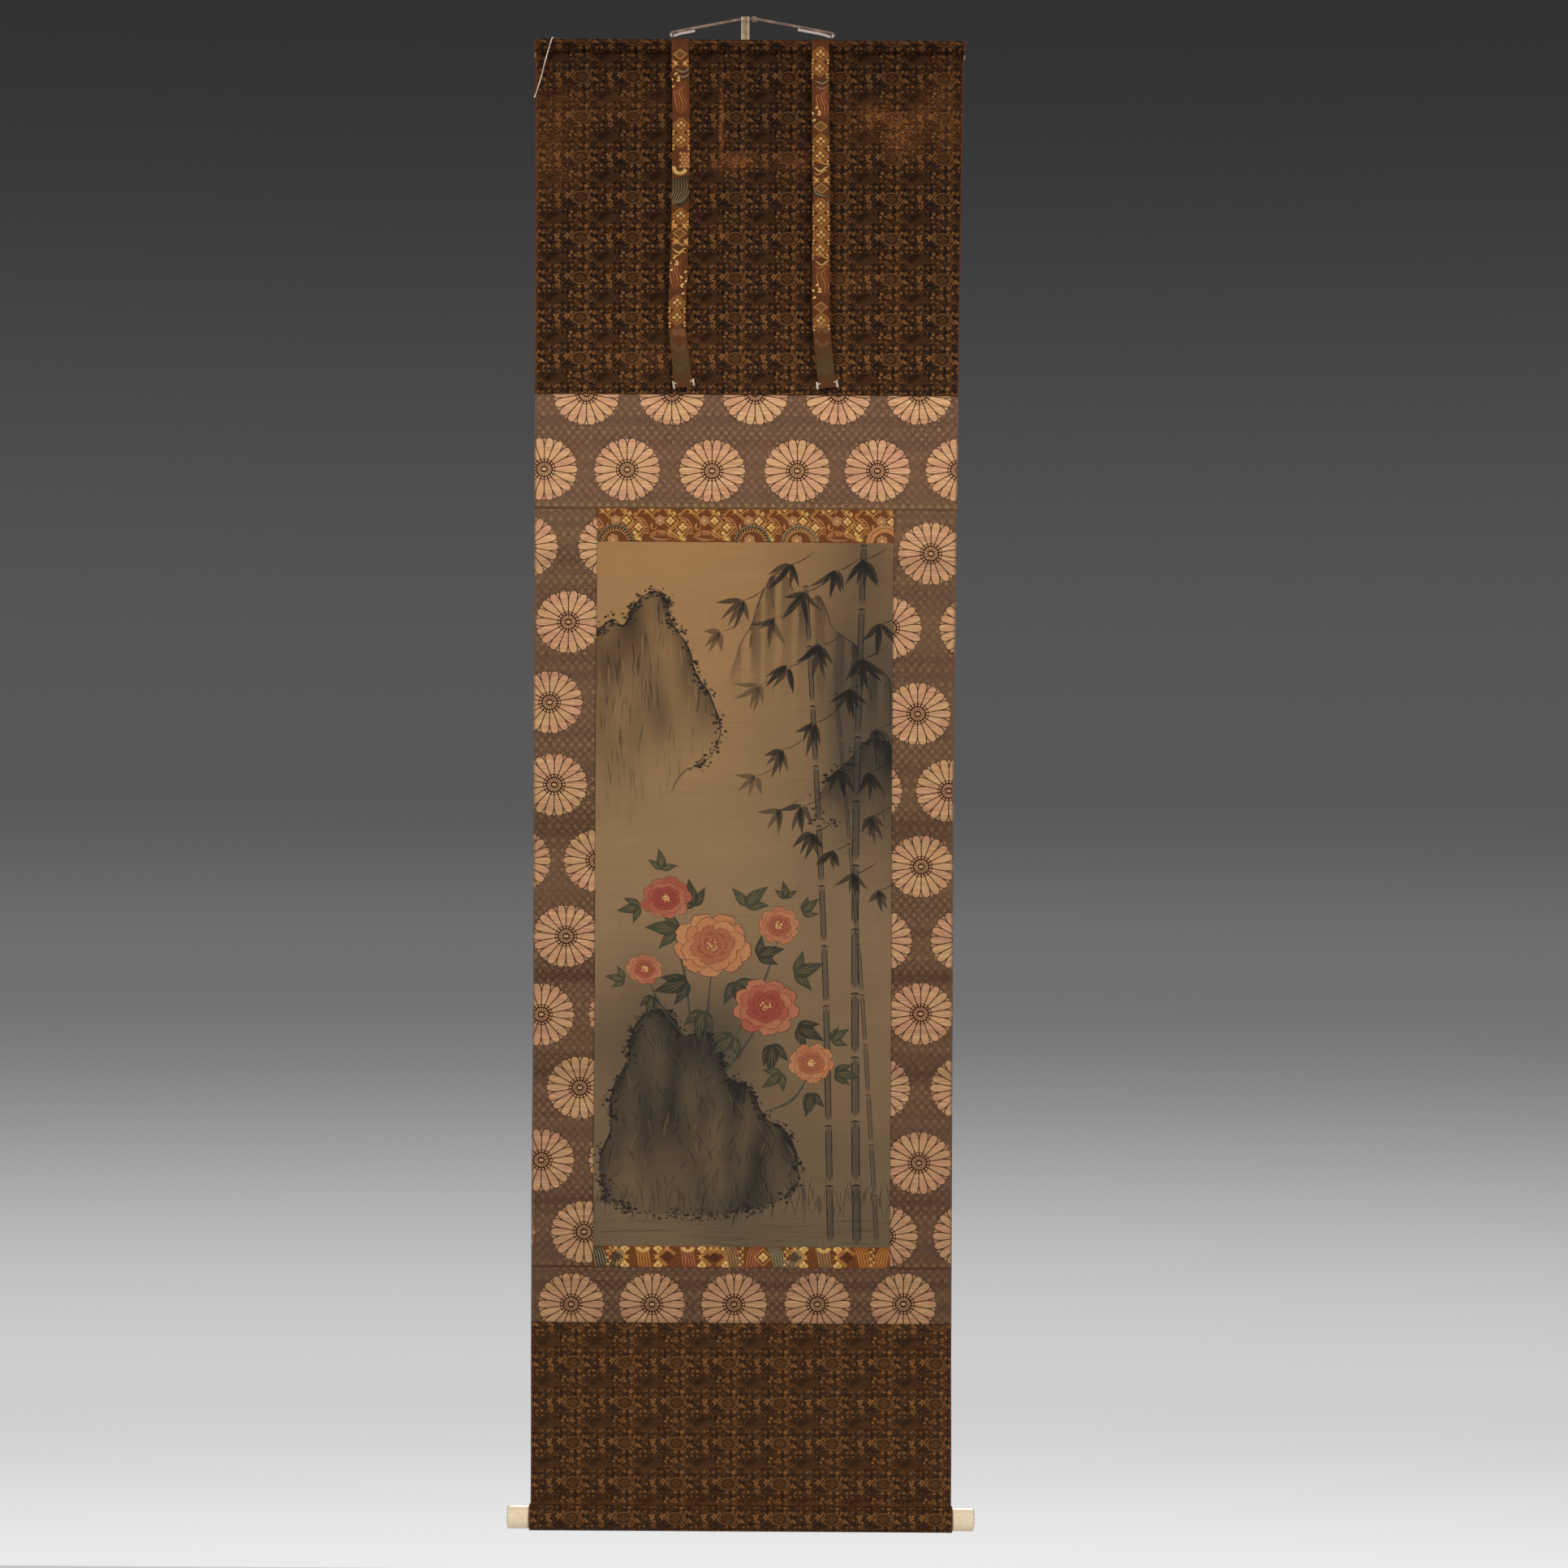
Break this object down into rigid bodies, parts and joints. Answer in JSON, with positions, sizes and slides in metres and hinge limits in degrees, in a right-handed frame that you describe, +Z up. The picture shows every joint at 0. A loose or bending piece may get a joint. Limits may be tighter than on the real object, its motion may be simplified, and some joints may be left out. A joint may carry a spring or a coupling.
{
  "type": "hanging scroll with hanging rod and roller",
  "caption": "Tall hanging scroll: a silk picture in brocade borders on a half-round rod and a roller with bone knobs, with ribbons, hanging cord and tie.",
  "frame": {"origin": "underside of the hanging cord at its peak, where it rests on its hook", "axes": "+Z up, the picture faces -Y, +X to the right of someone facing the picture"},
  "size_m": [0.5646, 0.0319, 1.8283],
  "materials": {
    "brown_brocade": "dark brown brocade with golden brown flowers and lozenges",
    "border_cloth": "purplish brown figured weave with tan flower roundels",
    "gold_brocade": "reddish brown brocade with gold thread figures",
    "painted_silk": "aged tan silk with an ink painting",
    "wood": "plain planed softwood",
    "bone": "polished bone",
    "iron": "dark bent wire",
    "braid": "worn silk braid, tan and grey",
    "pale_thread": "undyed thread"
  },
  "bodies": {
    "root": {"top_panel": "brown_brocade", "bottom_panel": "brown_brocade", "middle_band_top": "border_cloth", "middle_band_bottom": "border_cloth", "side_strip_left": "border_cloth", "side_strip_right": "border_cloth", "gold_strip_top": "gold_brocade", "gold_strip_bottom": "gold_brocade", "picture_silk": "painted_silk", "ribbon_left": "gold_brocade", "ribbon_right": "gold_brocade", "tuft_left_left": "pale_thread", "tuft_left_right": "pale_thread", "tuft_right_left": "pale_thread", "tuft_right_right": "pale_thread", "hanging_rod": "wood", "roller": "wood", "knob_left": "bone", "knob_right": "bone", "eye_left": "iron", "eye_right": "iron", "hanging_cord": "braid", "tie": "braid", "tie_knot": "braid", "corner_thread": "pale_thread"}
  },
  "joints": []
}
